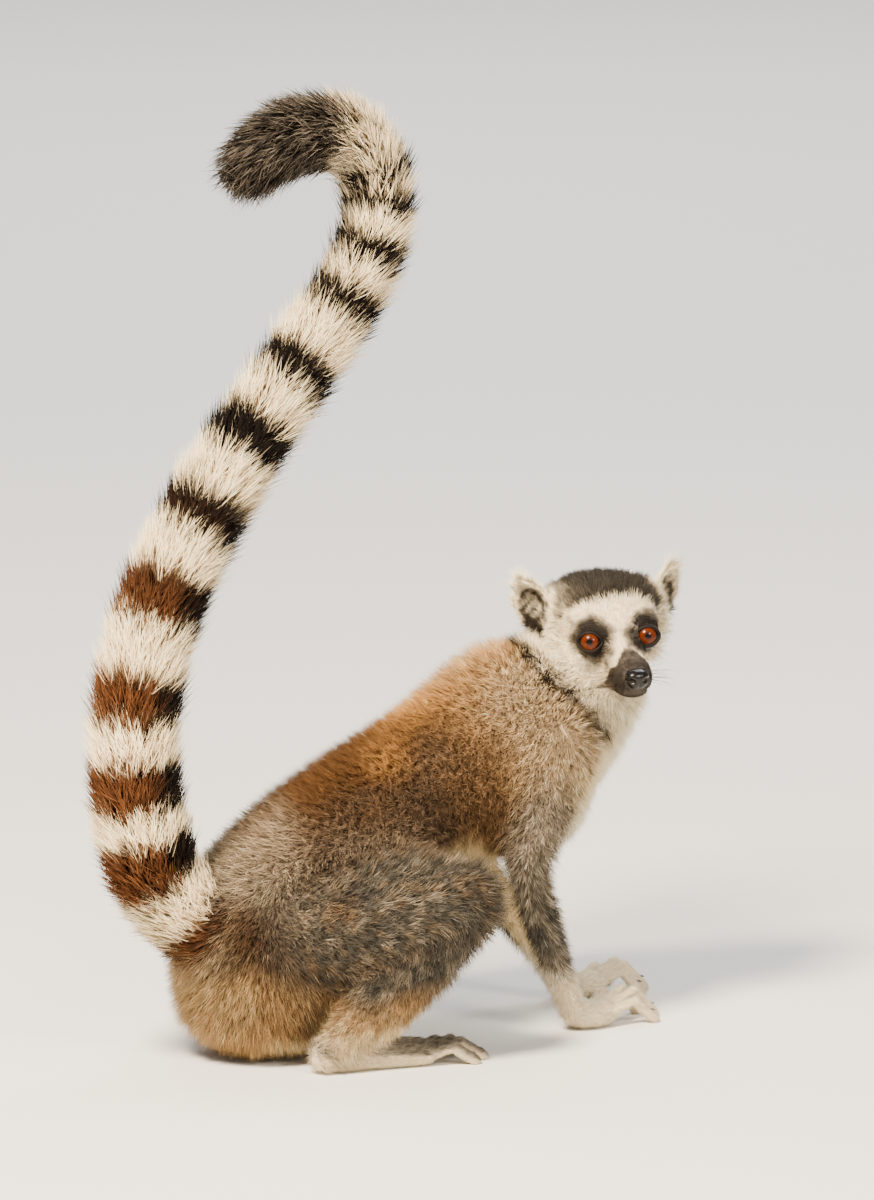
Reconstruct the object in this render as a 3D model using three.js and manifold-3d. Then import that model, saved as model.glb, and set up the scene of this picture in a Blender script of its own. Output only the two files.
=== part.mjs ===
// A ring-tailed lemur at life size, sitting on the floor and looking back over its right shoulder.
// Millimetres, +Z up. The body faces +X and its left side is +Y.
// The origin is on the floor, at the middle of the flat under the rump.
import * as THREE from "three";
import { ParametricGeometry } from "three/addons/geometries/ParametricGeometry.js";
import { mergeVertices } from "three/addons/utils/BufferGeometryUtils.js";
import Module from "manifold-3d";

const wasm = await Module();
wasm.setup();

// ---- Driving sizes -------------------------------------------------------------------------
const GAP = 0.3; // clear space between one piece and the next
const SLIVER = 0.1; // detail smaller than this is left out
const SAME_PLACE = 1e-4; // vertices nearer than this are one
const TAIL_LENGTHS = 6; // pieces that the tail is divided into
const RIGHT = -1; // the right side of the body is at -Y
const LEFT = 1;

const v = (x, y, z) => new THREE.Vector3(x, y, z);
const UP = v(0, 0, 1);
const SIDEWAYS = v(0, 1, 0);

// ---- Colours of the coat and bare parts ------------------------------------------------------
const COLOURS = {
  back: 0x9c7350,
  grey: 0x8a8178,
  cream: 0xd8c8ab,
  white: 0xdcd5c9,
  dark: 0x2b2320,
  eye: 0xb8500f,
  nose: 0x1c1a1a,
};
const finish = (colour, roughness = 0.9) =>
  new THREE.MeshStandardMaterial({ color: colour, roughness, metalness: 0 });

// ---- Solids ----------------------------------------------------------------------------------
// A closed geometry as a manifold-3d solid.
function solid(geometry) {
  geometry.deleteAttribute("normal");
  geometry.deleteAttribute("uv");
  const merged = mergeVertices(geometry, SAME_PLACE);
  return new wasm.Manifold(
    new wasm.Mesh({
      numProp: 3,
      vertProperties: merged.attributes.position.array,
      triVerts: new Uint32Array(merged.index.array),
    }),
  );
}

// A solid as a named mesh, without the slivers that a cut can leave.
function piece(name, made, material) {
  const body = made.simplify(SLIVER).decompose().sort((a, b) => b.volume() - a.volume())[0];
  const { vertProperties, triVerts, numProp } = body.getMesh();
  const places = new Float32Array((vertProperties.length / numProp) * 3);
  for (let i = 0; i * 3 < places.length; i++)
    places.set(vertProperties.subarray(i * numProp, i * numProp + 3), i * 3);
  const geometry = new THREE.BufferGeometry();
  geometry.setAttribute("position", new THREE.BufferAttribute(places, 3));
  geometry.setIndex(new THREE.BufferAttribute(triVerts, 1));
  geometry.computeVertexNormals();
  const mesh = new THREE.Mesh(geometry, material);
  mesh.name = name;
  return mesh;
}

// A closed body of oval sections along a smooth path. A station is { at, wide, deep }: the
// section's centre, its half width across and its half depth towards `dorsal`. Each end is a
// dome `startCap` or `endCap` long, or flat where that is 0. `grow` swells the body all over, and
// `from` and `to` keep one length of it, as shares of the path. Above 2, `blunt` squares off the
// domes and `square` the sections.
function loft(stations, dorsal, options = {}) {
  const { around = 12, along = 8, dome = 3, startCap, endCap, grow = 0 } = options;
  const { from = 0, to = 1, blunt = 2, square = 2 } = options;
  const path = new THREE.CatmullRomCurve3(stations.map((s) => s.at));
  const sizes = new THREE.CatmullRomCurve3(stations.map((s) => v(s.wide, s.deep, 0)));
  const ends = [stations[0], stations[stations.length - 1]];
  const [startLength, endLength] = [startCap, endCap].map((cap, i) =>
    cap === undefined ? (ends[i].wide + ends[i].deep) / 2 + grow : cap > 0 ? cap + grow : 0,
  );
  // The rings from pole to pole: the place along the path, the size and the reach past the end.
  const rings = [];
  const cap = (place, length, sign) => {
    const steps = length > 0 ? dome : 1;
    const made = [];
    for (let i = 0; i < steps; i++) {
      const angle = (Math.PI / 2) * (i / steps);
      made.push({
        place,
        share: Math.pow(Math.sin(angle), 2 / blunt),
        reach: sign * length * Math.pow(Math.cos(angle), 2 / blunt),
      });
    }
    return made;
  };
  rings.push(...cap(from, startLength, -1));
  for (let i = 0; i <= along; i++)
    rings.push({ place: from + ((to - from) * i) / along, share: 1, reach: 0 });
  rings.push(...cap(to, endLength, 1).reverse());
  const surface = (u, w, target) => {
    const ring = rings[Math.round(u * (rings.length - 1))];
    const t = path.getUtoTmapping(ring.place);
    const centre = path.getPoint(t);
    const tangent = path.getTangent(t);
    const size = sizes.getPoint(t);
    const across = v(0, 0, 0).crossVectors(dorsal, tangent).normalize();
    const out = v(0, 0, 0).crossVectors(tangent, across);
    const [x, y] = [Math.cos(2 * Math.PI * w), Math.sin(2 * Math.PI * w)].map(
      (side) => Math.sign(side) * Math.pow(Math.abs(side), 2 / square) * ring.share,
    );
    target
      .copy(centre)
      .addScaledVector(tangent, ring.reach)
      .addScaledVector(across, (size.x + grow) * x)
      .addScaledVector(out, (size.y + grow) * y);
  };
  return solid(closed(new ParametricGeometry(surface, rings.length - 1, around)));
}

// ParametricGeometry's faces may wind either way round: this turns them to face out.
function closed(geometry) {
  const index = geometry.index.array;
  const p = geometry.attributes.position;
  let volume = 0;
  const [a, b, c] = [v(0, 0, 0), v(0, 0, 0), v(0, 0, 0)];
  for (let i = 0; i < index.length; i += 3) {
    a.fromBufferAttribute(p, index[i]);
    b.fromBufferAttribute(p, index[i + 1]);
    c.fromBufferAttribute(p, index[i + 2]);
    volume += a.dot(b.cross(c));
  }
  if (volume < 0)
    for (let i = 0; i < index.length; i += 3)
      [index[i + 1], index[i + 2]] = [index[i + 2], index[i + 1]];
  return geometry;
}

const station = (x, y, z, wide, deep = wide) => ({ at: v(x, y, z), wide, deep });
const lerp = (a, b, t) => a.map((x, i) => x + (b[i] - x) * t);
const join = (...solids) => solids.reduce((a, b) => a.add(b));
const less = (made, ...others) => others.reduce((a, b) => a.subtract(b), made);
const FLOOR = { side: 1200, thick: 200 };
const floorBlock = solid(
  new THREE.BoxGeometry(FLOOR.side, FLOOR.side, FLOOR.thick).translate(0, 0, -FLOOR.thick / 2),
);
const onFloor = (made) => made.subtract(floorBlock);
const turned = (degrees, x, y) =>
  new THREE.Matrix4()
    .makeTranslation(x, y, 0)
    .multiply(new THREE.Matrix4().makeRotationZ(THREE.MathUtils.degToRad(degrees))).elements;

// ---- Trunk and neck ----------------------------------------------------------------------------
// From the rump, which sits on the floor, the back rises to the shoulders.
const TRUNK = [
  station(-8, 0, 34, 55, 57),
  station(-6, 0, 58, 60, 62),
  station(9, 0, 89, 63, 59),
  station(47, 0, 117, 62, 55),
  station(95, 0, 141, 57, 54),
  station(138, 0, 158, 53, 57),
  station(177, -2, 174, 47, 61),
];
const BREAST = { at: [188, 0, 150], size: [38, 42, 52] };
const NECK = [station(196, 0, 180, 47, 50), station(216, -5, 203, 44, 45), station(222, -11, 226, 31, 33)];

const trunkLoft = (grow) => {
  const body = loft(TRUNK, v(-0.5, 0, 1), {
    around: 20, along: 9, startCap: 37, endCap: 44, grow, blunt: 2.2,
  });
  const breast = new THREE.SphereGeometry(1, 14, 8)
    .scale(...BREAST.size.map((half) => half + grow))
    .translate(...BREAST.at);
  return body.add(solid(breast));
};
const neckLoft = (grow) => loft(NECK, v(-1, 0, 1), { around: 14, along: 3, endCap: 16, grow });

// ---- Head, in its own frame: +X to the muzzle, +Y to its left, +Z to the crown --------------------
const HEAD = { at: [226.8, -16, 241.8], yaw: -104.2, pitch: 8.3, roll: 2.9 };
const SKULL = [
  station(-28, 0, 2, 29, 24),
  station(-13, 0, 1, 36, 29),
  station(5, 0, -1, 35, 30),
  station(16, 0, -4, 29, 26.5),
  station(24, 0, -8, 19.5, 20.5),
  station(30, 0, -11.5, 13, 16),
  station(37, 0, -14, 11.8, 14),
  station(46, 0, -16.5, 12.8, 13),
  station(56, 0, -18.3, 11.8, 10.8),
];
const JAW = [station(12, 0, -20, 22, 13), station(30, 0, -23, 16, 8.5), station(53, 0, -25, 9, 5)];
const CHEEK = { at: [1, 18, -14], size: [19, 19, 17] };
const EYE = { radius: 8.2, forward: 26, side: 17.8, up: -1 };
const NOSE = [station(58, 0, -15.5, 6.8, 5.4), station(64, 0, -16.2, 5.6, 4.5)];
const EAR = {
  at: [-8, 43.5, 12.5],
  turn: 40, // degrees, away from the muzzle
  lean: 29, // degrees, away from the crown
  tall: 17.5,
  broad: 13.5,
  dish: 8,
  thick: 2.2,
  point: 0.14,
};

const headFrame = new THREE.Matrix4().makeTranslation(...HEAD.at);
for (const [axis, degrees] of [["Z", HEAD.yaw], ["Y", HEAD.pitch], ["X", HEAD.roll]])
  headFrame.multiply(new THREE.Matrix4()[`makeRotation${axis}`](THREE.MathUtils.degToRad(degrees)));
const onHead = (made) => made.transform(headFrame.elements);

const skullLoft = (grow) => {
  const skull = loft(SKULL, UP, { around: 18, along: 10, startCap: 17, endCap: 8, grow, square: 2.7 });
  const jaw = loft(JAW, UP, { around: 12, along: 4, dome: 2, grow });
  const cheeks = [RIGHT, LEFT].map((side) =>
    solid(
      new THREE.SphereGeometry(1, 10, 7)
        .scale(...CHEEK.size.map((half) => half + grow))
        .translate(CHEEK.at[0], side * CHEEK.at[1], CHEEK.at[2]),
    ),
  );
  return join(skull, jaw, ...cheeks);
};
const noseLoft = (grow) => loft(NOSE, UP, { around: 10, along: 1, dome: 2, startCap: 3, endCap: 3, grow });
const eyeball = (side, grow) =>
  solid(
    new THREE.SphereGeometry(EYE.radius + grow, 10, 7).translate(EYE.forward, side * EYE.side, EYE.up),
  );

// An ear is a thin dish with a soft point at the top, open forwards and outwards.
function earDish(side) {
  const surface = (u, w, target) => {
    // u from 0 to 0.5 crosses the open face to the rim, and from 0.5 to 1 comes back behind.
    const r = u <= 0.5 ? u * 2 : (1 - u) * 2;
    const turn = 2 * Math.PI * w;
    const point = 1 + EAR.point * Math.pow(Math.max(Math.sin(turn), 0), 6);
    const behind = u <= 0.5 ? 0 : EAR.thick * Math.sqrt(1 - r * r);
    target.set(
      EAR.dish * (r * r - 1) - behind,
      r * EAR.broad * Math.cos(turn),
      r * EAR.tall * Math.sin(turn) * point,
    );
  };
  const place = new THREE.Matrix4()
    .makeTranslation(EAR.at[0], side * EAR.at[1], EAR.at[2])
    .multiply(new THREE.Matrix4().makeRotationZ(THREE.MathUtils.degToRad(side * EAR.turn)))
    .multiply(new THREE.Matrix4().makeRotationX(THREE.MathUtils.degToRad(side * -EAR.lean)));
  return solid(closed(new ParametricGeometry(surface, 6, 12))).transform(place.elements);
}

// ---- Arms ---------------------------------------------------------------------------------------
const ARMS = {
  [RIGHT]: { shoulder: [180, -40, 172], elbow: [146, -54, 104], wrist: [182, -46, 18], heading: 13 },
  [LEFT]: { shoulder: [180, 40, 172], elbow: [171, 47, 90], wrist: [220, 30, 18], heading: 4 },
};
const upperArmLoft = ({ shoulder, elbow }, grow) =>
  loft(
    [
      station(...shoulder, 27, 33),
      station(...lerp(shoulder, elbow, 0.45), 22, 26),
      station(...lerp(shoulder, elbow, 0.8), 19, 20),
      station(...elbow, 17, 18),
    ],
    v(1, 0, 0.3),
    { around: 12, along: 4, startCap: 26, endCap: 15, grow },
  );
const forearmLoft = ({ elbow, wrist }, grow) =>
  loft(
    [
      station(...elbow, 15.5, 17),
      station(...lerp(elbow, wrist, 0.3), 15.5, 17),
      station(...lerp(elbow, wrist, 0.7), 12, 13),
      station(...wrist, 8.5, 8.5),
    ],
    v(1, 0, 0.3),
    { around: 10, along: 4, startCap: 12, endCap: 6, grow },
  );

// A digit arches from its root to the pad of its tip, which is on the floor. Its root, length,
// spread in degrees and arch are in the frame of its hand or foot.
function digit(side, { root: [x, y, z], length, spread, arch, thick }) {
  const heading = THREE.MathUtils.degToRad(side * spread);
  const along = (share, height) => [
    x + Math.cos(heading) * length * share,
    side * y + Math.sin(heading) * length * share,
    height,
  ];
  return loft(
    [
      station(...along(0, z), thick * 1.1),
      station(...along(0.4, z + arch), thick),
      station(...along(0.75, z * 0.5 + arch * 0.5), thick * 0.92),
      station(...along(1, thick * 0.62), thick * 0.9),
    ],
    v(0, 0.001, 1),
    { around: 5, along: 2, dome: 2, startCap: 0 },
  );
}

// A hand's own frame has the wrist at X = 0, the fingers along +X and the thumb at -Y on the left.
const FINGERS = [
  { root: [12, -9, 6.5], length: 21, spread: -48, arch: 3, thick: 3.2 },
  { root: [28, -8.5, 8.5], length: 28, spread: -17, arch: 9, thick: 3.2 },
  { root: [31, -2.8, 9.5], length: 34, spread: -5, arch: 11, thick: 3.3 },
  { root: [31, 3.4, 9.5], length: 36, spread: 6, arch: 11, thick: 3.3 },
  { root: [27, 9, 8.5], length: 30, spread: 20, arch: 8, thick: 3.2 },
];
const palm = (wristHeight) =>
  loft(
    [station(2, 0, wristHeight - 3, 9, 9), station(14, 0, 7.5, 12, 8.5), station(29, 0, 8, 12.5, 6.5)],
    UP,
    { around: 10, along: 3, dome: 2, startCap: 8, endCap: 6 },
  );
const hand = (side, { wrist, heading }) =>
  join(palm(wrist[2]), ...FINGERS.map((finger) => digit(side, finger))).transform(
    turned(heading, wrist[0], wrist[1]),
  );

// ---- Legs ---------------------------------------------------------------------------------------
const LEGS = {
  [RIGHT]: { hip: [12, -32, 80], knee: [86, -94, 102], ankle: [6, -68, 18], heading: -6 },
  [LEFT]: { hip: [8, 34, 76], knee: [80, 96, 100], ankle: [10, 62, 16], heading: 8 },
};
const thighLoft = ({ hip, knee }, grow) =>
  loft(
    [
      station(...hip, 47, 52),
      station(...lerp(hip, knee, 0.4), 44, 47),
      station(...lerp(hip, knee, 0.75), 35, 38),
      station(...knee, 25, 28),
    ],
    UP,
    { around: 14, along: 3, startCap: 46, endCap: 21, grow },
  );
const shankLoft = ({ knee, ankle }, grow) =>
  loft(
    [
      station(...lerp(knee, ankle, 0.06), 22, 26),
      station(...lerp(knee, ankle, 0.4), 23, 31),
      station(...lerp(knee, ankle, 0.75), 18, 25),
      station(...ankle, 12, 15),
    ],
    v(1, 0, -1),
    { around: 12, along: 4, startCap: 16, endCap: 10, grow },
  );

// A foot's own frame has the ankle at X = 0, the toes along +X and the big toe at -Y on the left.
const TOES = [
  { root: [40, -10, 7], length: 27, spread: -52, arch: 2, thick: 4.4 },
  { root: [56, -8.5, 7], length: 24, spread: -14, arch: 5, thick: 3.6 },
  { root: [59, -3, 7.5], length: 29, spread: -4, arch: 6, thick: 3.6 },
  { root: [59, 3.4, 7.5], length: 33, spread: 5, arch: 6, thick: 3.6 },
  { root: [55, 9, 7], length: 28, spread: 15, arch: 5, thick: 3.6 },
];
const sole = (ankleHeight) =>
  loft(
    [
      station(-12, 0, 10.8, 10, 12),
      station(4, 0, ankleHeight - 5, 11.5, 13),
      station(28, 0, 9, 11, 10),
      station(54, 0, 7, 13, 8),
    ],
    UP,
    { around: 10, along: 4, dome: 2, startCap: 8, endCap: 8 },
  );
const foot = (side, { ankle, heading }) =>
  join(sole(ankle[2]), ...TOES.map((toe) => digit(side, toe))).transform(
    turned(heading, ankle[0], ankle[1]),
  );

// ---- Tail ---------------------------------------------------------------------------------------
// The tail leaves the rump backwards, stands up and hooks over at the top.
const TAIL = [
  station(-18, 0, 76, 26),
  station(-36, 0, 78, 28),
  station(-60, 0, 92, 29),
  station(-81, 0, 119, 30),
  station(-91, 0, 152, 31),
  station(-95, 0, 190, 31),
  station(-92, 0, 230, 30.5),
  station(-78, 0, 275, 30),
  station(-54, 0, 319, 29.5),
  station(-20, 0, 368, 28),
  station(12, 0, 406, 27),
  station(42, 0, 440, 26),
  station(65, 0, 472, 24),
  station(76, 0, 500, 24),
  station(73, 0, 528, 24),
  station(55, 0, 549, 25),
  station(31, 0, 554, 26),
  station(6, 0, 549, 25),
  station(-15, 0, 535, 21),
];
const TAIL_GAP = GAP / 2 / new THREE.CatmullRomCurve3(TAIL.map((s) => s.at)).getLength();
const tailLength = (k) =>
  loft(TAIL, SIDEWAYS, {
    around: 12,
    along: 6,
    from: k / TAIL_LENGTHS + (k > 0 ? TAIL_GAP : 0),
    to: (k + 1) / TAIL_LENGTHS - (k < TAIL_LENGTHS - 1 ? TAIL_GAP : 0),
    startCap: 0,
    endCap: k === TAIL_LENGTHS - 1 ? 15 : 0,
  });

// ---- Assembly -------------------------------------------------------------------------------------
const lemur = new THREE.Group();
const add = (name, made, colour, roughness) => lemur.add(piece(name, made, finish(colour, roughness)));

const trunkClear = trunkLoft(GAP);
const headClear = onHead(skullLoft(GAP));
const neckClear = neckLoft(GAP);
add("trunk", onFloor(trunkLoft(0)), COLOURS.back);
add("neck", less(neckLoft(0), trunkClear, headClear), COLOURS.cream);
const sockets = [eyeball(RIGHT, GAP), eyeball(LEFT, GAP), noseLoft(GAP)];
add("head", less(onHead(less(skullLoft(0), ...sockets)), trunkClear), COLOURS.white);
add("nose", onHead(noseLoft(0)), COLOURS.nose, 0.4);

for (const [side, label] of [[RIGHT, "right"], [LEFT, "left"]]) {
  const arm = ARMS[side];
  const leg = LEGS[side];
  const upperArmClear = upperArmLoft(arm, GAP);
  const forearmClear = forearmLoft(arm, GAP);
  const thighClear = thighLoft(leg, GAP);
  const shankClear = shankLoft(leg, GAP);
  add(`eye_${label}`, onHead(eyeball(side, 0)), COLOURS.eye, 0.1);
  add(`ear_${label}`, less(onHead(earDish(side)), headClear, neckClear), COLOURS.white);
  add(`upper_arm_${label}`, less(upperArmLoft(arm, 0), trunkClear, neckClear), COLOURS.grey);
  add(`forearm_${label}`, less(forearmLoft(arm, 0), upperArmClear, trunkClear), COLOURS.grey);
  add(`hand_${label}`, less(onFloor(hand(side, arm)), forearmClear), COLOURS.white);
  add(`thigh_${label}`, less(onFloor(thighLoft(leg, 0)), trunkClear), COLOURS.grey);
  add(`shank_${label}`, less(onFloor(shankLoft(leg, 0)), thighClear, trunkClear), COLOURS.cream);
  add(`foot_${label}`, less(onFloor(foot(side, leg)), shankClear, thighClear, trunkClear), COLOURS.white);
}

const tailClear = [trunkClear, ...[RIGHT, LEFT].map((side) => thighLoft(LEGS[side], GAP))];
for (let k = 0; k < TAIL_LENGTHS; k++)
  add(
    `tail_${k + 1}`,
    less(tailLength(k), ...(k === 0 ? tailClear : [])),
    k % 2 ? COLOURS.white : COLOURS.dark,
  );

export default lemur;
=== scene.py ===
import math

import bpy
import numpy as np
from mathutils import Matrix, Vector


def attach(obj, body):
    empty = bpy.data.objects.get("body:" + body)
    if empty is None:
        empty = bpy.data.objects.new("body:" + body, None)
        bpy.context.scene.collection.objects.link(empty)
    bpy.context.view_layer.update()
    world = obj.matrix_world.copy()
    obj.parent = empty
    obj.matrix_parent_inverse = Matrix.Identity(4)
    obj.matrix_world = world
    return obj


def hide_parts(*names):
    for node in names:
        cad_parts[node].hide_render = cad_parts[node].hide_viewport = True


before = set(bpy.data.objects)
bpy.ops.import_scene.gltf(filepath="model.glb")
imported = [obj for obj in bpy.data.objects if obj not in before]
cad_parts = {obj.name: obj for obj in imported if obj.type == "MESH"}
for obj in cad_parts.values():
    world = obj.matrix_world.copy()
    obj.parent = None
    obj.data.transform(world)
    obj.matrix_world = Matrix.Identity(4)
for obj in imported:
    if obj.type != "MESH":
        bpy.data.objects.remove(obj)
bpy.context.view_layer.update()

# ---- The room ---------------------------------------------------------------------------------
# A pale studio floor that curves up behind the animal, with wide soft lamps. The camera is a long
# lens, low and to the animal's right, and frames the tail's hook at the top.
MM = 0.001  # one millimetre in metres
FRAME_TALL = 1200  # pixels, of a frame that is 874 wide
PIXEL = 0.6 * MM  # what one pixel of the frame covers at the animal
CAMERA = {"azimuth": -32, "elevation": 10, "distance": 6.0, "aim": (0.109, -0.0126, 0.267)}


def colour(hex_value, alpha=1.0):
    """An sRGB hex value as linear red, green, blue and alpha."""
    parts = [int(hex_value[i : i + 2], 16) / 255 for i in (1, 3, 5)]
    return (*[p / 12.92 if p <= 0.04045 else ((p + 0.055) / 1.055) ** 2.4 for p in parts], alpha)


def node(tree, kind, inputs=None, **settings):
    """Adds a node. Settings are its own properties, and inputs are values or sockets to link."""
    made = tree.nodes.new(kind)
    for name, value in settings.items():
        setattr(made, name, value)
    for name, value in (inputs or {}).items():
        if isinstance(value, bpy.types.NodeSocket):
            tree.links.new(value, made.inputs[name])
        else:
            made.inputs[name].default_value = value
    return made


def new_material(name, **shader):
    """A material with one Principled shader. Its sockets are given by name, with _ for a space."""
    material = bpy.data.materials.new(name)
    material.use_nodes = True
    principled = material.node_tree.nodes["Principled BSDF"]
    for socket, value in shader.items():
        principled.inputs[socket.replace("_", " ")].default_value = value
    return material, material.node_tree, principled


def aimed(kind, name, place, target):
    """A lamp or camera at a place, turned to look at a target."""
    made = bpy.data.objects.new(name, kind)
    bpy.context.scene.collection.objects.link(made)
    made.location = place
    heading = Vector((np.array(target, float) - np.array(place, float)).tolist())
    made.rotation_euler = heading.to_track_quat("-Z", "Y").to_euler()
    return made


def direction(azimuth, elevation):
    """The unit vector from the animal towards a viewer at that azimuth and elevation in degrees."""
    a, e = math.radians(azimuth), math.radians(elevation)
    return np.array([math.sin(a) * math.cos(e), -math.cos(a) * math.cos(e), math.sin(e)])


lens = bpy.data.cameras.new("camera")
lens.sensor_width = 36
lens.lens = lens.sensor_width * CAMERA["distance"] / (FRAME_TALL * PIXEL)
lens.clip_end = 60
place = np.array(CAMERA["aim"]) + direction(CAMERA["azimuth"], CAMERA["elevation"]) * CAMERA["distance"]
bpy.context.scene.camera = aimed(lens, "camera", place, CAMERA["aim"])

# name: azimuth, elevation, distance and width of the lamp in metres, how far behind the animal it
# points, watts and colour
LAMPS = {
    "key": (-64, 50, 2.4, 0.6, 0, 225, "#FFEBCE"),
    "fill": (4, 28, 2.8, 0.7, 0, 46, "#FFF0DC"),
    "rim": (120, 50, 2.4, 1.0, 0, 26, "#FFFFFF"),
    "backdrop": (148, 33, 5.0, 3.0, 3.2, 130, "#FFFFFF"),
}
for name, (azimuth, elevation, distance, width, behind, watts, tint) in LAMPS.items():
    lamp = bpy.data.lights.new(name, "AREA")
    lamp.shape = "DISK"
    lamp.size = width
    lamp.energy = watts
    lamp.color = colour(tint)[:3]
    target = np.array(CAMERA["aim"]) - direction(CAMERA["azimuth"], 0) * behind
    aimed(lamp, name, np.array(CAMERA["aim"]) + direction(azimuth, elevation) * distance, target)
world = bpy.data.worlds.new("studio")
bpy.context.scene.world = world
world.use_nodes = True
world.node_tree.nodes["Background"].inputs["Color"].default_value = colour("#F2F0ED")
world.node_tree.nodes["Background"].inputs["Strength"].default_value = 0.55

# The floor's reach in metres before and behind the animal and to each side, how high it rises
# behind, and the radius of the bend.
FLOOR = {"near": -18.0, "far": 18.0, "wide": 36.0, "rise": 6.0, "bend": 2.0}


def studio_floor():
    """A flat sheet that rises behind along a quarter circle and goes on straight up."""
    turn = np.linspace(0, math.pi / 2, 24)
    depth = np.r_[FLOOR["near"], FLOOR["far"] - FLOOR["bend"] + FLOOR["bend"] * np.sin(turn), FLOOR["far"]]
    height = np.r_[0, FLOOR["bend"] * (1 - np.cos(turn)), FLOOR["rise"]]
    across = np.linspace(-FLOOR["wide"], FLOOR["wide"], 2)
    heading = direction(CAMERA["azimuth"], 0)
    side = np.cross(heading, (0, 0, 1))
    points = -heading * depth[:, None, None] + side * across[:, None]
    points[..., 2] = height[:, None]
    count = len(depth)
    faces = [(2 * i, 2 * i + 1, 2 * i + 3, 2 * i + 2) for i in range(count - 1)]
    mesh = bpy.data.meshes.new("floor")
    mesh.from_pydata(points.reshape(-1, 3).tolist(), [], faces)
    mesh.polygons.foreach_set("use_smooth", [True] * len(faces))
    made = bpy.data.objects.new("floor", mesh)
    bpy.context.scene.collection.objects.link(made)
    return made


floor = studio_floor()
# Matt paper backdrop: an even pale grey with no gloss.
paper, _, _ = new_material("matt_paper_backdrop", Base_Color=colour("#EFEEEB"), Roughness=0.95)
floor.data.materials.append(paper)

# ---- Lie of the coat ----------------------------------------------------------------------------
# The animal is a set of long rounded forms. Each has a middle line that runs the way its hair lies,
# from the nose and shoulders to the toes and the tip of the tail. Places and radii are in mm.
SIDES = {"right": -1, "left": 1}
HEAD = {"at": (226.8, -16, 241.8), "yaw": -104.2, "pitch": 8.3, "roll": 2.9}
TAIL = [
    (-18, 0, 76, 26), (-36, 0, 78, 28), (-60, 0, 92, 29), (-81, 0, 119, 30), (-91, 0, 152, 31),
    (-95, 0, 190, 31), (-92, 0, 230, 30.5), (-78, 0, 275, 30), (-54, 0, 319, 29.5), (-20, 0, 368, 28),
    (12, 0, 406, 27), (42, 0, 440, 26), (65, 0, 472, 24), (76, 0, 500, 24), (73, 0, 528, 24),
    (55, 0, 549, 25), (31, 0, 554, 26), (6, 0, 549, 25), (-15, 0, 535, 21), (-27, 0, 526, 10),
]
TRUNK = [
    (177, -2, 174, 54), (138, 0, 158, 55), (95, 0, 141, 55.5), (47, 0, 117, 58.5),
    (9, 0, 89, 61), (-6, 0, 58, 61), (-8, 0, 34, 56), (-8, 0, 14, 44),
]
NECK = [(222, -11, 226, 32), (216, -5, 203, 44), (196, 0, 180, 48)]
BREAST = [(206, -4, 186, 34), (196, 0, 160, 40), (182, 0, 130, 38), (150, 0, 96, 34)]
ARMS = {
    "right": ((180, -40, 172), (146, -54, 104), (182, -46, 18), 13),
    "left": ((180, 40, 172), (171, 47, 90), (220, 30, 18), 4),
}
LEGS = {
    "right": ((12, -32, 80), (86, -94, 102), (6, -68, 18), -6),
    "left": ((8, 34, 76), (80, 96, 100), (10, 62, 16), 8),
}


def turned(points, axis, degrees):
    """Points turned about X, Y or Z by the right-hand rule."""
    c, s = math.cos(math.radians(degrees)), math.sin(math.radians(degrees))
    first, second = [(1, 2), (2, 0), (0, 1)]["XYZ".index(axis)]
    made = np.array(points, float)
    made[..., first], made[..., second] = (
        points[..., first] * c - points[..., second] * s,
        points[..., first] * s + points[..., second] * c,
    )
    return made


def from_head(points):
    """Places in the head's frame, forwards, left and up in mm, as places on the animal."""
    made = turned(np.array(points, float), "X", HEAD["roll"])
    return turned(turned(made, "Y", HEAD["pitch"]), "Z", HEAD["yaw"]) + HEAD["at"]


def to_head(points, is_heading=False):
    """Places, or headings, on the animal as places in the head's frame."""
    made = turned(points - np.array(HEAD["at"]) * (not is_heading), "Z", -HEAD["yaw"])
    return turned(turned(made, "Y", -HEAD["pitch"]), "X", -HEAD["roll"])


def ground(place, forwards, heading, sideways=0, height=8):
    """A place so far forwards and to the left of another, on a line that heads that way."""
    a = math.radians(heading)
    x = place[0] + forwards * math.cos(a) - sideways * math.sin(a)
    return (x, place[1] + forwards * math.sin(a) + sideways * math.cos(a), height)


# name: the line's places with their radii, then the hair's length, how deep the skin lies under the
# tips, both at the line's start and its end in mm, and how far the hair stands up in degrees
LINES = {
    "tail": (TAIL, (20, 26, 26, 22), (9, 15, 14, 11), 38),
    "trunk": (TRUNK, (11, 12, 12.5, 12), (7, 7.5, 8.5, 7), 56),
    "neck": (NECK, (10, 11), (6, 7), 56),
    "breast": (BREAST, (14, 17), (8, 8), 26),
}
for side, (shoulder, elbow, wrist, heading) in ARMS.items():
    LINES["upper_arm_" + side] = ([(*shoulder, 30), (*elbow, 17.5)], (10.5, 9), (8, 6), 56)
    LINES["forearm_" + side] = ([(*elbow, 17), (*wrist, 9)], (8.5, 6), (5.5, 2), 44)
    reach = [(*ground(wrist, 4, heading, height=12), 9), (*ground(wrist, 66, heading, height=5), 12)]
    LINES["hand_" + side] = (reach, (5, 3.4, 2.2), (1.2, 0.6, 0.1), 24)
for side, (hip, knee, ankle, heading) in LEGS.items():
    LINES["thigh_" + side] = ([(*hip, 48), (*knee, 27)], (12, 11), (9, 8), 54)
    LINES["shank_" + side] = ([(*knee, 24), (*ankle, 13)], (10.5, 7), (7, 2.5), 46)
    reach = [(*ground(ankle, -14, heading, height=11), 9), (*ground(ankle, 88, heading, height=5), 11)]
    LINES["foot_" + side] = (reach, (7, 4, 1.8), (1.8, 0.8, 0.2), 18)
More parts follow.
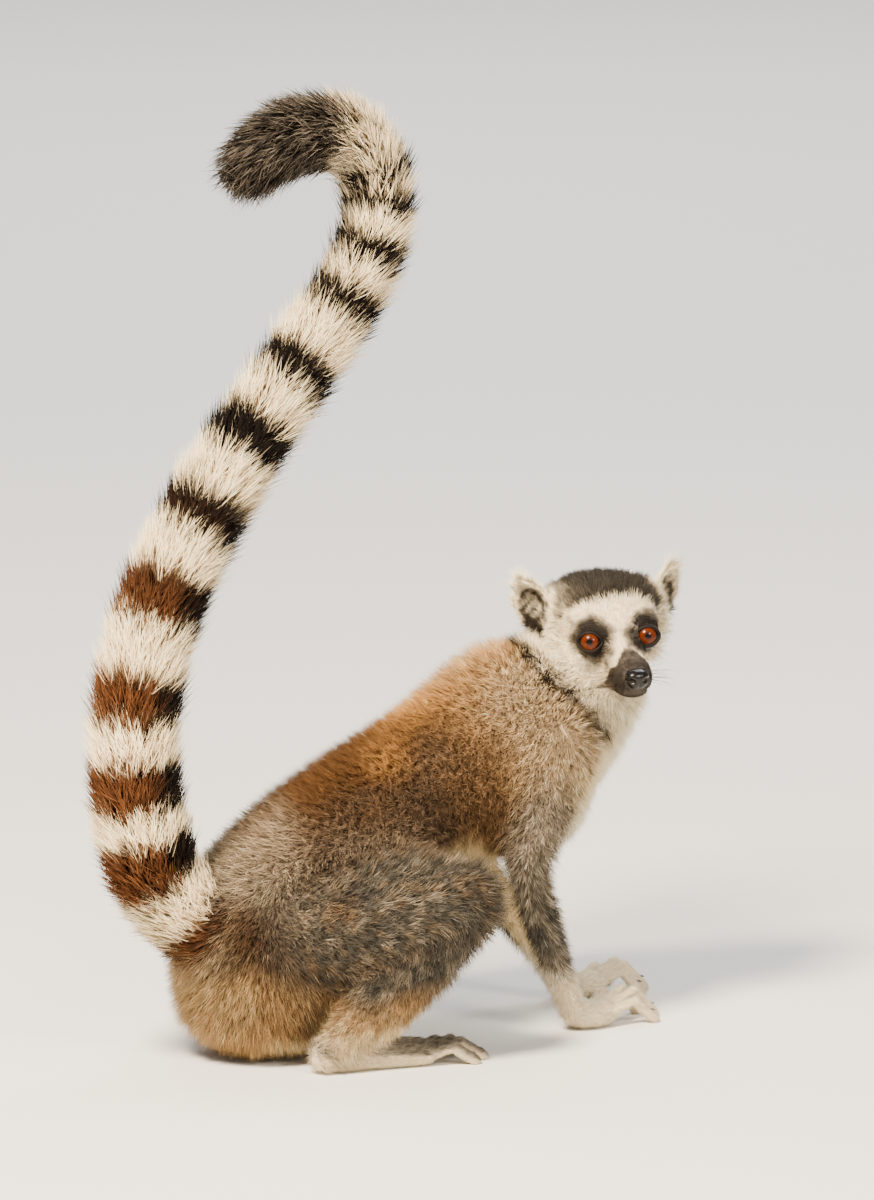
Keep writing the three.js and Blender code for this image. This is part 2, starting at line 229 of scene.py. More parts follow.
for name, line in {
    "skull": [(20, 0, -2, 26), (-26, 0, 2, 28)],
    "muzzle": [(60, 0, -18, 11), (22, 0, -8, 17)],
}.items():
    line = np.array(line, float)
    LINES[name] = (np.c_[from_head(line[:, :3]), line[:, 3]], (2, 7), (1, 3), 20)
NAMES = list(LINES)


def unit(vectors):
    """The vectors, each divided by its length."""
    return vectors / np.maximum(np.linalg.norm(vectors, axis=-1, keepdims=True), 1e-9)


def smooth_line(places, steps=3):
    """A Catmull-Rom curve through the places, in `steps` parts between each two."""
    p = np.array(places, float)
    p = np.vstack([2 * p[0] - p[1], p, 2 * p[-1] - p[-2]])
    t = np.linspace(0, 1, steps, endpoint=False)[:, None, None]
    a, b, c, d = p[:-3], p[1:-2], p[2:-1], p[3:]
    curve = 0.5 * (2 * b + (c - a) * t + (2 * a - 5 * b + 4 * c - d) * t**2 + (3 * b - a - 3 * c + d) * t**3)
    return np.vstack([curve.transpose(1, 0, 2).reshape(-1, p.shape[1]), p[-2]])


def along_line(points, places):
    """For each point: its height over the nearest place on the line's surface, the share of the
    line's length up to there, and the line's heading there."""
    line = smooth_line(places)
    start, step = line[:-1], np.diff(line, axis=0)
    lengths = np.linalg.norm(step[:, :3], axis=1)
    travelled = np.r_[0, np.cumsum(lengths)]
    best = np.full(len(points), np.inf)
    share = np.zeros(len(points))
    heading = np.zeros((len(points), 3))
    corner = unit(np.gradient(line[:, :3], axis=0))
    for k in range(len(step)):
        t = np.clip((points - start[k, :3]) @ step[k, :3] / lengths[k] ** 2, 0, 1)
        near = start[k, :3] + t[:, None] * step[k, :3]
        height = np.linalg.norm(points - near, axis=1) - (start[k, 3] + t * step[k, 3])
        closer = height < best
        best[closer] = height[closer]
        share[closer] = (travelled[k] + t[closer] * lengths[k]) / travelled[-1]
        heading[closer] = (corner[k] + t[:, None] * (corner[k + 1] - corner[k]))[closer]
    return best, share, heading


def rise(value, low, high):
    """0 below `low`, 1 above `high` and smooth between."""
    t = np.clip((value - low) / (high - low), 0, 1)
    return t * t * (3 - 2 * t)


def mix(a, b, share):
    """From a to b by the share, along a straight line."""
    return a + (b - a) * share


def waves(points, size, seed, count=14):
    """A smooth random field: the sum of sine waves about `size` mm long with random headings."""
    random = np.random.default_rng(seed)
    heading = unit(random.normal(size=(count, 3)))
    rate = 2 * math.pi / (size * random.uniform(0.7, 1.5, count))
    phase = points @ (heading * rate[:, None]).T + random.uniform(0, 7, count)
    return np.sin(phase).sum(1) * (2 / count) ** 0.5


# The eyes look forwards and a little outwards and up. An ear is a dish on the side of the head.
EYE = {"radius": 8.2, "at": (26, 17.8, -1), "outward": 6, "inward_turn": -17.0, "up": 17}
EAR = {"at": (-8, 43.5, 12.5), "turn": 40, "lean": 29, "tall": 17.5, "broad": 13.5, "half": (11, 15, 20)}
OPENING = {"wide": 5.8, "tall": 4.85}  # half the opening between the lids


def eye_frame(sign):
    """The eye's centre and its axes in the head's frame: out of the pupil, to its left and up."""
    turn, up = math.radians(EYE["inward_turn"] + sign * EYE["outward"]), math.radians(EYE["up"])
    out = np.array([math.cos(turn) * math.cos(up), math.sin(turn) * math.cos(up), math.sin(up)])
    left = unit(np.cross((0, 0, 1), out))
    return np.array(EYE["at"]) * (1, sign, 1), np.array([out, left, np.cross(out, left)])


def around_eye(points, sign):
    """For places in the head's frame: distance from the eye's centre, the angle off its axis, and
    the angle by which that passes the edge of the opening, both in degrees."""
    centre, axes = eye_frame(sign)
    local = (points - centre) @ axes.T
    distance = np.linalg.norm(local, axis=1)
    off = np.degrees(np.arccos(np.clip(local[:, 0] / np.maximum(distance, 1e-6), -1, 1)))
    edge = lid_edge(np.arctan2(local[:, 2], local[:, 1]))
    return distance, off, off - edge


def lid_edge(turn):
    """The opening's edge as an angle off the eye's axis: an ellipse with drawn-out corners."""
    wide = OPENING["wide"] * (1 + 0.16 * np.abs(np.cos(turn)) ** 12)
    reach = wide * OPENING["tall"] / np.hypot(OPENING["tall"] * np.cos(turn), wide * np.sin(turn))
    return np.degrees(np.arcsin(np.clip(reach / EYE["radius"], 0, 0.99)))


def to_ear(points, sign, is_heading=False):
    """Places in the head's frame as places in an ear's: out of the dish, across it and to its tip."""
    made = turned(points - np.array(EAR["at"]) * (1, sign, 1) * (not is_heading), "Z", -sign * EAR["turn"])
    return turned(made, "X", sign * EAR["lean"])


def from_ear(points, sign):
    """Places in an ear's frame as places in the head's."""
    made = turned(turned(points, "X", -sign * EAR["lean"]), "Z", sign * EAR["turn"])
    return made + np.array(EAR["at"]) * (1, sign, 1)


def near_ears(points):
    """1 on the ears and 0 on the rest of the head, for places in the head's frame."""
    gap = [np.linalg.norm(to_ear(points, sign) / (11, 16, 21), axis=1) for sign in SIDES.values()]
    return (1 - rise(np.min(gap, axis=0), 1, 1.3)) * rise(np.abs(points[:, 1]), 27, 32)


MOUTH = {"corner": 28, "height": -23.6, "drop": 6.0, "deep": 1.8, "wide": 1.1, "front": 60}  # mm
COLLAR = {"normal": (0.710, -0.246, 0.660), "at": 273.5, "wide": 5.2}  # a plane through the neck, mm


def mouth_height(f):
    """The lips' line falls slowly from under the nose back to the corner of the mouth."""
    back = np.clip((MOUTH["front"] - f) / (MOUTH["front"] - MOUTH["corner"]), 0, 1)
    return MOUTH["height"] - MOUTH["drop"] * back**1.5


def coat_at(points, normals):
    """The coat over places on the skin: hair length, depth of the skin, stand in degrees, the way
    it lies, how far along each line it is and how much it belongs to it, and the places in the
    head's frame. Each line counts by exp(-height / 5 mm), so that neighbours blend."""
    heights, shares, headings = zip(*[along_line(points, LINES[name][0]) for name in NAMES])
    heights = np.array(heights)
    in_head = to_head(points)
    # The neck runs up inside the head, so the head has the first claim on the skin close to it.
    of_head = [NAMES.index("skull"), NAMES.index("muzzle")]
    claimed = 14 * np.maximum(1 - rise(heights[of_head].min(0), 2, 11), near_ears(in_head))
    heights = heights + claimed * (~np.isin(np.arange(len(NAMES)), of_head))[:, None]
    ears = np.array([to_ear(in_head, sign) for sign in SIDES.values()])
    weight = np.exp(-(heights - heights.min(0)) / 5)
    weight /= weight.sum(0)
    length, depth, stand = (np.zeros(len(points)) for _ in range(3))
    lie = np.zeros((len(points), 3))
    for k, name in enumerate(NAMES):
        _, lengths, depths, degrees = LINES[name]
        stations = np.linspace(0, 1, len(lengths))
        length += weight[k] * np.interp(shares[k], stations, lengths)
        depth += weight[k] * np.interp(shares[k], np.linspace(0, 1, len(depths)), depths)
        stand += weight[k] * degrees
        lie += weight[k][:, None] * headings[k]
    # The hair of the head runs from the nose back over the face, long on the cheeks.
    f, l, u = in_head.T
    on_head = weight[NAMES.index("skull")] + weight[NAMES.index("muzzle")]
    back = unit(in_head - (66, 0, -10))
    parting = 0.25 * np.sign(l) * rise(abs(l), 8, 24)
    back = unit(back + np.c_[np.full_like(f, -0.35), parting, -0.5 * rise(-u, 6, 26)])
    lie = mix(lie, from_head(back) - HEAD["at"], on_head[:, None])
    muzzle = rise(f, 26, 40)
    cheek = rise(abs(l), 15, 27) * (1 - rise(u, -2, 12)) * (1 - rise(f, 14, 32))
    eye = np.min([around_eye(in_head, sign)[0] for sign in SIDES.values()], axis=0)
    by_eye = 1 - rise(eye, 14, 22)
    by_lips = rise(f, MOUTH["corner"] - 6, MOUTH["corner"]) * np.exp(-((u - mouth_height(f)) / 4) ** 2)
    face_length = mix(mix(mix(6.5 + 7 * cheek, 2.2, muzzle), 1.9, by_eye), 1.2, by_lips)
    face_depth = mix(mix(2.4 + 2.6 * cheek, 0.5, muzzle), 0.5, by_eye)
    length, depth = mix(length, face_length, on_head), mix(depth, face_depth, on_head)
    stand = stand + (18 * rise(u, 14, 24) + 20 * cheek) * on_head
    # A thick mane stands up where the neck joins the back.
    mane = rise(normals[:, 2] - 0.4 * normals[:, 0], 0.1, 0.7) * (1 - on_head) * rise(points[:, 0], 90, 165)
    mane = mane * rise(points[:, 2], 165, 205)
    depth = depth - 6 * mane
    mane = mane * (1 - np.exp(-((points @ np.array(COLLAR["normal"]) - COLLAR["at"]) / 9) ** 2))
    length, stand = length + 3 * mane, stand + 10 * mane
    # The ears are thin and covered with short hair that grows long at the rim.
    for place, sign in zip(ears, SIDES.values()):
        height = (np.linalg.norm(place / EAR["half"], axis=1) - 1) * 14
        on_ear = (1 - rise(height, -1, 5)) * rise(sign * l, 27, 33)
        rim = rise(np.hypot(place[:, 1] / EAR["broad"], place[:, 2] / EAR["tall"]), 0.72, 0.98)
        inner = rise(to_ear(to_head(normals, True), sign, True)[:, 0], -0.1, 0.5)
        ear_lie = unit(np.c_[np.full(len(place), 0.1), place[:, 1], place[:, 2] + 15])
        ear_lie = from_head(from_ear(ear_lie, sign) - np.array(EAR["at"]) * (1, sign, 1)) - HEAD["at"]
        lie = mix(lie, ear_lie, on_ear[:, None])
        rim_length = 7.5 + 5.0 * rise(place[:, 2], 6, 17)
        length = mix(length, mix(mix(5.0, 4.5, inner), rim_length, rim), on_ear)
        depth = mix(depth, 0.3, on_ear)
        stand = mix(stand, mix(16, 50, rim), on_ear)
    return {
        "length": length, "depth": depth, "stand": stand, "lie": lie,
        "shares": np.array(shares), "weight": weight, "in_head": in_head,
    }


# ---- Skin ---------------------------------------------------------------------------------------
# One unbroken skin under the coat, from the nose pad to the tip of the tail. It is wrapped over all
# the solids at once, thinned out where thick hair hides it, eased smooth and sunk to the hair's roots.
WRAP = {"swell": 0.5, "voxel": 1.2, "weld": 0.001, "kept": 0.24}  # mm, and the share of faces kept
SMOOTHING = {"wrap": 26, "depth": 6, "sunk": 4}  # rounds of easing
SKIN_OVER_FLOOR = 0.4  # mm


def positions(mesh):
    """A mesh's vertices in mm."""
    flat = np.empty(len(mesh.vertices) * 3, np.float32)
    mesh.vertices.foreach_get("co", flat)
    return flat.reshape(-1, 3).astype(float) / MM


def normals_of(mesh):
    """The unit normal at each of a mesh's vertices."""
    flat = np.empty(len(mesh.vertices) * 3, np.float32)
    mesh.vertex_normals.foreach_get("vector", flat)
    return flat.reshape(-1, 3).astype(float)


def triangles_of(mesh):
    """A mesh's faces as triangles, in rows of vertex numbers."""
    mesh.calc_loop_triangles()
    flat = np.empty(len(mesh.loop_triangles) * 3, np.int32)
    mesh.loop_triangles.foreach_get("vertices", flat)
    return flat.reshape(-1, 3)


def closed_mesh(name, points, faces):
    """A smooth mesh from places in mm and from triangles or quads given as rows of numbers."""
    mesh = bpy.data.meshes.new(name)
    faces = np.asarray(faces, np.int32)
    corners = faces.shape[1]
    mesh.vertices.add(len(points))
    mesh.vertices.foreach_set("co", (np.asarray(points) * MM).astype(np.float32).ravel())
    mesh.loops.add(faces.size)
    mesh.loops.foreach_set("vertex_index", faces.ravel())
    mesh.polygons.add(len(faces))
    mesh.polygons.foreach_set("loop_start", np.arange(0, faces.size, corners, dtype=np.int32))
    mesh.update(calc_edges=True)
    mesh.polygons.foreach_set("use_smooth", np.ones(len(faces), bool))
    return mesh


def new_piece(name, mesh, material, slot, *replaced):
    """Adds a finished mesh as a piece that stands for the solids named, and gives it its finish."""
    made = bpy.data.objects.new(name, mesh)
    bpy.context.scene.collection.objects.link(made)
    mesh.materials.append(material)
    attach(made, "root")
    if replaced:
        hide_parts(*replaced)
    return made


def through_modifier(mesh, kind, weights=None, **settings):
    """The mesh as one modifier makes it. `weights` is a vertex group for the modifier to read."""
    carrier = bpy.data.objects.new("work", mesh)
    bpy.context.scene.collection.objects.link(carrier)
    modifier = carrier.modifiers.new("work", kind)
    if weights is not None:
        group = carrier.vertex_groups.new(name="thin")
        group.add(np.nonzero(weights)[0].tolist(), 1.0, "REPLACE")
        modifier.vertex_group = group.name
    for name, value in settings.items():
        setattr(modifier, name, value)
    shown = carrier.evaluated_get(bpy.context.evaluated_depsgraph_get())
    made = bpy.data.meshes.new_from_object(shown)
    bpy.data.objects.remove(carrier)
    return made


def swollen_solid(name):
    """A solid's vertices, each one moved out by the swell, and its faces."""
    welded = through_modifier(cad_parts[name].data.copy(), "WELD", merge_threshold=WRAP["weld"] * MM)
    return positions(welded) + normals_of(welded) * WRAP["swell"], triangles_of(welded)


def wrapped(names):
    """One closed surface round all the solids."""
    points, faces, count = [], [], 0
    for name in names:
        place, triangles = swollen_solid(name)
        points.append(place)
        faces.append(triangles + count)
        count += len(place)
    joined = closed_mesh("joined", np.vstack(points), np.vstack(faces))
    return through_modifier(joined, "REMESH", mode="VOXEL", voxel_size=WRAP["voxel"] * MM)


def keeps_detail(points):
    """1 on the head, the hands and the feet, where the hair is short, and 0 elsewhere."""
    at_head = np.linalg.norm(points - np.array(HEAD["at"]), axis=1) < 60
    limb = {name: along_line(points, LINES[name][0])[0] < 5 for name in NAMES if name[:4] in ("hand", "foot")}
    return at_head | np.any(list(limb.values()), axis=0)


def largest_part(points, faces):
    """The surface's largest connected part: each vertex takes the lowest label near it until none
    changes, and the parts with other labels are left out."""
    label = np.arange(len(points))
    while True:
        low = label[faces].min(1)
        before = label.copy()
        for corner in range(faces.shape[1]):
            np.minimum.at(label, faces[:, corner], low)
        label = label[label]
        if (label == before).all():
            break
    kept = label == np.bincount(label).argmax()
    number = np.cumsum(kept) - 1
    return points[kept], number[faces[kept[faces].all(1)]]


def eased(points, faces, share, times):
    """Moves each vertex towards the middle of its neighbours by its share, `times` over."""
    edges = np.vstack([faces[:, [0, 1]], faces[:, [1, 2]], faces[:, [2, 0]]])
    edges = np.vstack([edges, edges[:, ::-1]])
    count = np.bincount(edges[:, 0], minlength=len(points))[:, None]
    for _ in range(times):
        total = np.stack([np.bincount(edges[:, 0], points[edges[:, 1], k], len(points)) for k in range(3)], 1)
        points = points + share[:, None] * (total / count - points)
    return points


SOLIDS = sorted(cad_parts)
fine = wrapped(SOLIDS)
hidden = ~keeps_detail(positions(fine))
thinned = through_modifier(fine, "DECIMATE", weights=hidden, ratio=WRAP["kept"], vertex_group_factor=1.0)
skin_points, skin_faces = largest_part(positions(thinned), triangles_of(thinned))


def body_share(weight, *kinds):
    """How far each place belongs to the lines whose names start with one of the kinds."""
    return sum(weight[k] for k, name in enumerate(NAMES) if name.startswith(kinds))


def skin_normals(points, faces):
    """The mean of the normals of the faces round each vertex, by area."""
    a, b, c = (points[faces[:, k]] for k in range(3))
    face = np.cross(b - a, c - a)
    index = faces.ravel()
    every = np.repeat(face, 3, axis=0)
    return unit(np.stack([np.bincount(index, every[:, k], len(points)) for k in range(3)], 1))


def face_modelled(points, normals):
    """Sinks the lips' line and fits the skin round the eyes, in the head's frame."""
    face, out = to_head(points), to_head(normals, True)
    f, _, u = face.T
    groove = np.exp(-(((u - mouth_height(f)) / MOUTH["wide"]) ** 2))
    groove = groove * rise(f, MOUTH["corner"] - 2, MOUTH["corner"] + 4)
    face = face - out * (MOUTH["deep"] * groove)[:, None]
    brow = np.zeros(len(face))
    for sign in SIDES.values():
        centre, _ = eye_frame(sign)
        distance, off, past = around_eye(face, sign)
        near = (distance < EYE["radius"] + 9) & (off < 110)
        seat = np.where(past < 0, EYE["radius"] - 1.2, EYE["radius"] + 0.15)
        share = (1 - rise(past, 14, 44)) * near
        toward = unit(face - centre)
        face = face + toward * ((seat - distance) * share)[:, None]
        brow = np.maximum(brow, np.exp(-(((past - 40) / 14) ** 2)) * near * rise(u - centre[2], 2, 8))
    face = face + out * brow[:, None]
    return from_head(face)


def lid_ring(sign, around=56):
    """A pair of lids as one ring that hugs the eyeball: its section runs from under the skin up to
    a rounded margin at the opening and back along the eyeball. Places are in the head's frame."""
    turn = np.linspace(0, 2 * math.pi, around, endpoint=False)
    # Degrees past the opening's edge and height over the eyeball in mm, round the ring's section.
    section = np.array([(26, -0.9), (20, 0.5), (13, 1.05), (7, 1.15), (3, 1.05), (0.8, 0.75), (0, 0.35),
                        (0.6, 0.02), (5, -0.5), (18, -1.6)])
    off = np.radians(lid_edge(turn)[:, None] + section[:, 0])
    reach = EYE["radius"] + section[:, 1]
    centre, axes = eye_frame(sign)
    local = np.stack([reach * np.cos(off), reach * np.sin(off) * np.cos(turn)[:, None],
                      reach * np.sin(off) * np.sin(turn)[:, None]], -1)
    rows, columns = np.arange(around)[:, None], np.arange(len(section))
    corner = rows * len(section) + columns
    right = rows * len(section) + (columns + 1) % len(section)
    faces = np.stack([corner, right, np.roll(right, -1, 0), np.roll(corner, -1, 0)], -1).reshape(-1, 4)
    points = (local @ axes + centre).reshape(-1, 3)
    return points, outward(points, faces)


def outward(points, faces):
    """The faces, turned over if they enclose a negative volume."""
    a, b, c = (points[faces[:, k]] for k in range(3))
    d = points[faces[:, -1]]
    volume = np.einsum("ij,ij->", a, np.cross(b, c)) + np.einsum("ij,ij->", a, np.cross(c, d))
    return faces if volume > 0 else faces[:, ::-1]


# How far one round of easing moves the skin: least on the muzzle, the fingers and the thin ears.
skin_out = skin_normals(skin_points, skin_faces)
coat = coat_at(skin_points, skin_out)
weight = coat["weight"]
fingers = body_share(weight, "hand", "foot")
softness = 0.5 - 0.25 * body_share(weight, "skull") - 0.42 * body_share(weight, "muzzle") - 0.46 * fingers
at_ear = np.min([np.linalg.norm(to_ear(coat["in_head"], sign), axis=1) for sign in SIDES.values()], axis=0)
off_ear = rise(at_ear, 17, 26)
softness = mix(0.12, softness, off_ear)
skin_points = eased(skin_points, skin_faces, softness, SMOOTHING["wrap"])

# The skin is then sunk under the tips by the coat's depth, and the face modelled on it.
skin_out = skin_normals(skin_points, skin_faces)
depth = np.repeat(coat_at(skin_points, skin_out)["depth"][:, None], 3, 1)
depth = eased(depth, skin_faces, np.full(len(softness), 0.5), SMOOTHING["depth"])
sunk = (depth + WRAP["swell"] * (1 - 1.6 * fingers[:, None])) * off_ear[:, None]
skin_points = skin_points - skin_out * sunk
skin_points = eased(skin_points, skin_faces, softness, SMOOTHING["sunk"])
skin_points = face_modelled(skin_points, skin_normals(skin_points, skin_faces))
skin_points[:, 2] = np.maximum(skin_points[:, 2], SKIN_OVER_FLOOR)


# ---- Markings -----------------------------------------------------------------------------------
# Grey-brown above, rusty on the loins, grey on the limbs and white below. A thin dark collar parts
# the grey shoulder from the white throat. The face is a white mask with dark eye patches and snout,
# and the tail is ringed. The skin and every tuft take their colour here, from where they grow.
HAIR = {
    name: np.array(colour(value)[:3])
    for name, value in {
        "tan": "#AD7E46", "rust": "#50361F", "deep_rust": "#4A2F1B", "taupe": "#B09877",
        "grey": "#54473A", "limb_grey": "#4C4942", "pale_grey": "#B8A78E", "cream": "#E9CF9F",
        "white": "#FDEBCB", "gold": "#AE8A5C", "charcoal": "#332E27", "black": "#120D0A",
        "tail_sunlit_brown": "#54331B", "tail_white": "#F9E3BE", "patch": "#24201D", "ear_grey": "#474139",
        "snout_grey": "#4A443D", "snout": "#443D36", "collar": "#1A130D", "cheek_grey": "#625A50",
    }.items()
}
# The tail's dark rings, from and to, in mm along it from its base.
TAIL_LENGTH = 662
RINGS = [(36, 50), (76, 106), (123, 153), (175, 205), (235, 266), (293, 319), (346, 373), (399, 420),
         (449, 470), (487, 504), (519, 532), (542, 553), (588, 700)]
# How far the dark patch reaches from the middle of the eye, in mm, at each turn round it from the
# nose's side, through above at 90 degrees.
PATCH = [
    (-180, 13.4), (-135, 12), (-90, 11.5), (-45, 15), (0, 16.6),
    (50, 15.6), (85, 17), (130, 14.4), (180, 13.4),
]


def plain(name, points):
    """One hair colour for every place."""
    return np.tile(HAIR[name], (len(points), 1))


def painted(base, name, share):
    """The base colours with so much of a hair colour laid over them."""
    return base + (HAIR[name] - base) * np.clip(share, 0, 1)[:, None]


def markings(points, normals, shares, weight, in_head):
    """The hair's colour at places on the skin, as colours laid over each other. The two numbers of
    each rise are the places in mm, or the shares, where a colour begins and where it is full."""
    x, y, z = points.T
    f, l, u = in_head.T
    blotch = waves(points, 42, 3)
    ragged = waves(points, 9, 4)
    share = dict(zip(NAMES, shares))
    base = plain("tan", points)

    # The back: tan at the shoulders, rusty over the loins, paler round the root of the tail.
    down = share["trunk"]
    at_side = rise(np.abs(normals[:, 1]), 0.2, 0.8)
    base = painted(base, "taupe", (1 - rise(down, 0.02, 0.25)) * (0.4 + 0.6 * at_side))
    base = painted(base, "rust", rise(down + 0.05 * blotch, 0.13, 0.42) * 0.92)
    sideways = rise(np.abs(normals[:, 1]) + 0.1 * blotch, 0.25, 0.9) * (1 - rise(x, 110, 150))
    base = painted(base, "grey", sideways * 0.7)
    # A painted sheen: a soft pale patch on the lower flank stands in for light falling there.
    painted_flank_sheen = np.exp(-(((x - 40) / 34) ** 2 + ((z - 118) / 20) ** 2)) * sideways
    base = painted(base, "pale_grey", 0.3 * painted_flank_sheen)
    base = painted(base, "pale_grey", rise(-x - 4 * blotch + 3 * ragged, -16, 46) * rise(z, 70, 110) * 0.85)
    base = painted(base, "deep_rust", rise(-x, 28, 42) * (1 - rise(z, 88, 104)) * rise(z, 62, 76) * 0.8)
    base = painted(base, "cream", 1 - rise(normals @ unit(np.array([-0.7, 0, 0.7])), -0.55, -0.25))
    base = painted(base, "gold", rise(-x, -10, 25) * (1 - rise(z + 6 * blotch, 38, 68)) * 0.8)
    base = painted(base, "cream", rise(-x - 5 * blotch, 38, 56) * (1 - rise(z, 50, 78)) * 0.15)

    # The limbs: grey outside and pale inside, with rusty blots low on the haunch.
    outside = normals[:, 1] * np.sign(y)
    arms = body_share(weight, "upper_arm", "forearm")
    legs = body_share(weight, "thigh", "shank")
    limb = painted(plain("limb_grey", points), "pale_grey", 0.35 * rise(waves(points, 14, 5), 0, 1.2))
    limb = painted(limb, "pale_grey", 0.4 * body_share(weight, "upper_arm"))
    limb = painted(limb, "cream", 1 - rise(outside + 0.1 * ragged, -0.75, -0.35))
    low = 1 - rise(z, 30, 74)
    thigh = body_share(weight, "thigh")
    haunch = painted(limb, "rust", rise(blotch + 1.5 * low, 0.5, 1.6) * 0.35 * thigh)
    haunch = painted(haunch, "gold", 0.3 * rise(waves(points, 8, 12), 0.2, 1.5) * thigh)
    haunch = painted(haunch, "gold", (1 - rise(z + 4 * blotch, 30, 52)) * 0.8)
    haunch = painted(haunch, "cream", (1 - rise(z + 4 * ragged, 14, 32)) * 0.9)
    # The shoulder keeps the back's colour, and the limb's own comes in down the upper arm.
    shoulder = 0
    for side in SIDES:
        name = "upper_arm_" + side
        shoulder = shoulder + weight[NAMES.index(name)] * (1 - rise(share[name], 0.1, 0.5))
    base = mix(base, limb, (arms - shoulder)[:, None])
    base = mix(base, haunch, legs[:, None])
    pale_hand = body_share(weight, "hand", "foot") + arms * (1 - rise(z, 24, 44))
    base = painted(base, "white", np.minimum(pale_hand, 1) * 0.95)
    base = painted(base, "limb_grey", body_share(weight, "foot") * rise(normals[:, 2], -0.3, 0.4) * 0.85)

    # The throat and breast are white in front of the collar, and the nape is grey-brown behind it.
    over = points @ np.array(COLLAR["normal"]) - COLLAR["at"] + 1.0 * ragged
    front = rise(x, 140, 160) * rise(z, 120, 150) * (1 - body_share(weight, "upper_arm", "forearm", "hand"))
    breast = rise(normals @ unit(np.array([0.85, 0, -0.5])), 0.25, 0.6) * rise(x, 120, 165) * (1 - 0.9 * arms)
    base = painted(base, "white", breast)
    base = painted(base, "white", front * rise(over, -1, 1.5))
    nape = rise(-f, 4, 16) * rise(u, -30, -16)
    base = painted(base, "taupe", front * nape * 0.9)
    wide = COLLAR["wide"] * mix(1.0, 0.75, rise(z, 180, 222))
    line = np.exp(-((over + 1.2) / wide) ** 2) * (1 - rise(-f, 12, 28)) * (1 - rise(breast, 0.2, 0.7))
    line = line * front * rise(z, 160, 176)

    # The face: a white mask, a dark cap and dark patches round the eyes.
    head = np.maximum(body_share(weight, "skull", "muzzle"), near_ears(in_head))
    face = painted(plain("white", points), "taupe", nape * (1 - rise(u, 0, 16)))
    crown = rise(17.5 - 0.006 * l**2 - f + 0.8 * ragged, -2.5, 1.5) * rise(u + 0.8 * ragged, 8, 12.5)
    face = painted(face, "charcoal", np.maximum(crown, nape * rise(u, -14, 4)))
    for sign in SIDES.values():
        centre, axes = eye_frame(sign)
        out, left, up = ((in_head - centre) @ axes.T).T
        away = np.sqrt(left**2 + up**2 + (0.4 * out) ** 2)
        patch = np.interp(np.degrees(np.arctan2(up, -sign * left)), *zip(*PATCH))
        shade = np.exp(-(np.linalg.norm(in_head - np.array((30, sign * 20, -15)), axis=1) / 9) ** 2)
        tear = np.exp(-(np.linalg.norm(in_head - np.array((39, sign * 11, -12)), axis=1) / 5) ** 2)
        face = painted(face, "cheek_grey", np.maximum(shade, tear) * 0.9 * rise(f, 0, 10))
        edge = patch + 0.7 * ragged
        behind = rise(out, -22, -15)
        face = painted(face, "cheek_grey", (1 - rise(away, edge - 2.0, edge + 2.8)) * behind * 0.8)
        face = painted(face, "patch", (1 - rise(away, edge - 5.0, edge + 0.6)) * behind)
        place = to_ear(in_head, sign)
        on_ear = (1 - rise(np.linalg.norm(place / EAR["half"], axis=1), 1, 1.3)) * rise(sign * l, 27, 31)
        face = painted(face, "white", on_ear)
        inner = rise(to_ear(to_head(normals, True), sign, True)[:, 0], 0.1, 0.5)
        dish = 1 - rise(np.hypot(place[:, 1] / EAR["broad"], (place[:, 2] + 2) / EAR["tall"]), 0.68, 0.86)
        face = painted(face, "ear_grey", on_ear * inner * dish * (0.86 + 0.16 * waves(points, 5, 8)))
        ends = [(-11, sign * 43.5, 1, 5.0), (2, sign * 36, -9, 3.4)]
        over_ear_base = along_line(in_head, ends)[0] + 0.6 * ragged
        face = painted(face, "black", (1 - rise(over_ear_base, -1.5, 1.5)) * 0.95)
    wedge = rise(f, 40, 45) * (1 - rise(abs(l) - 0.85 * (f - 40), -1, 1.2)) * rise(u, -16, -11)
    face = painted(face, "snout_grey", wedge)
    edge = np.interp(u, (-28, -15, -9, -4), (34, 43, 51, 56))
    face = painted(face, "snout", rise(f - edge + 0.4 * ragged, -1.2, 1.2) * rise(u, -33, -29))
    face = painted(face, "patch", 0.8 * (1 - rise(np.linalg.norm(in_head - (60, 0, -19), axis=1), 8, 17)))
    lips = np.exp(-((u - mouth_height(f)) / 2.3) ** 2) * rise(f, MOUTH["corner"] - 3, MOUTH["corner"])
    face = painted(face, "snout", 1.5 * lips)
    base = mix(base, face, head[:, None])
    base = painted(base, "taupe", (1 - rise(over, -4, 0)) * rise(z, 150, 170) * (1 - rise(u, -22, -8)) * head)
    base = painted(base, "collar", 1.25 * line)

    # The tail: black and white rings; low on the tail the black ones are painted brown on their outer side, a
    # painted sunlit side.
    along = share["tail"] * TAIL_LENGTH + 2.2 * ragged
    dark = sum(rise(along, a - 3, a + 3) * (1 - rise(along, b - 3, b + 3)) for a, b in RINGS)
    # Painted sunlight: the side that faces backwards and a little down, by its normal, takes brown over the
    # black rings, fading out up the tail.
    outer = rise(normals @ unit(np.array([-0.9, -0.1, -0.35])), -0.25, 0.5)
    tail = painted(plain("tail_white", points), "gold", (1 - rise(along, 20, 70)) * 0.5)
    dark_rings_lit_brown = painted(plain("black", points), "tail_sunlit_brown", outer * (1 - rise(along, 210, 330)))
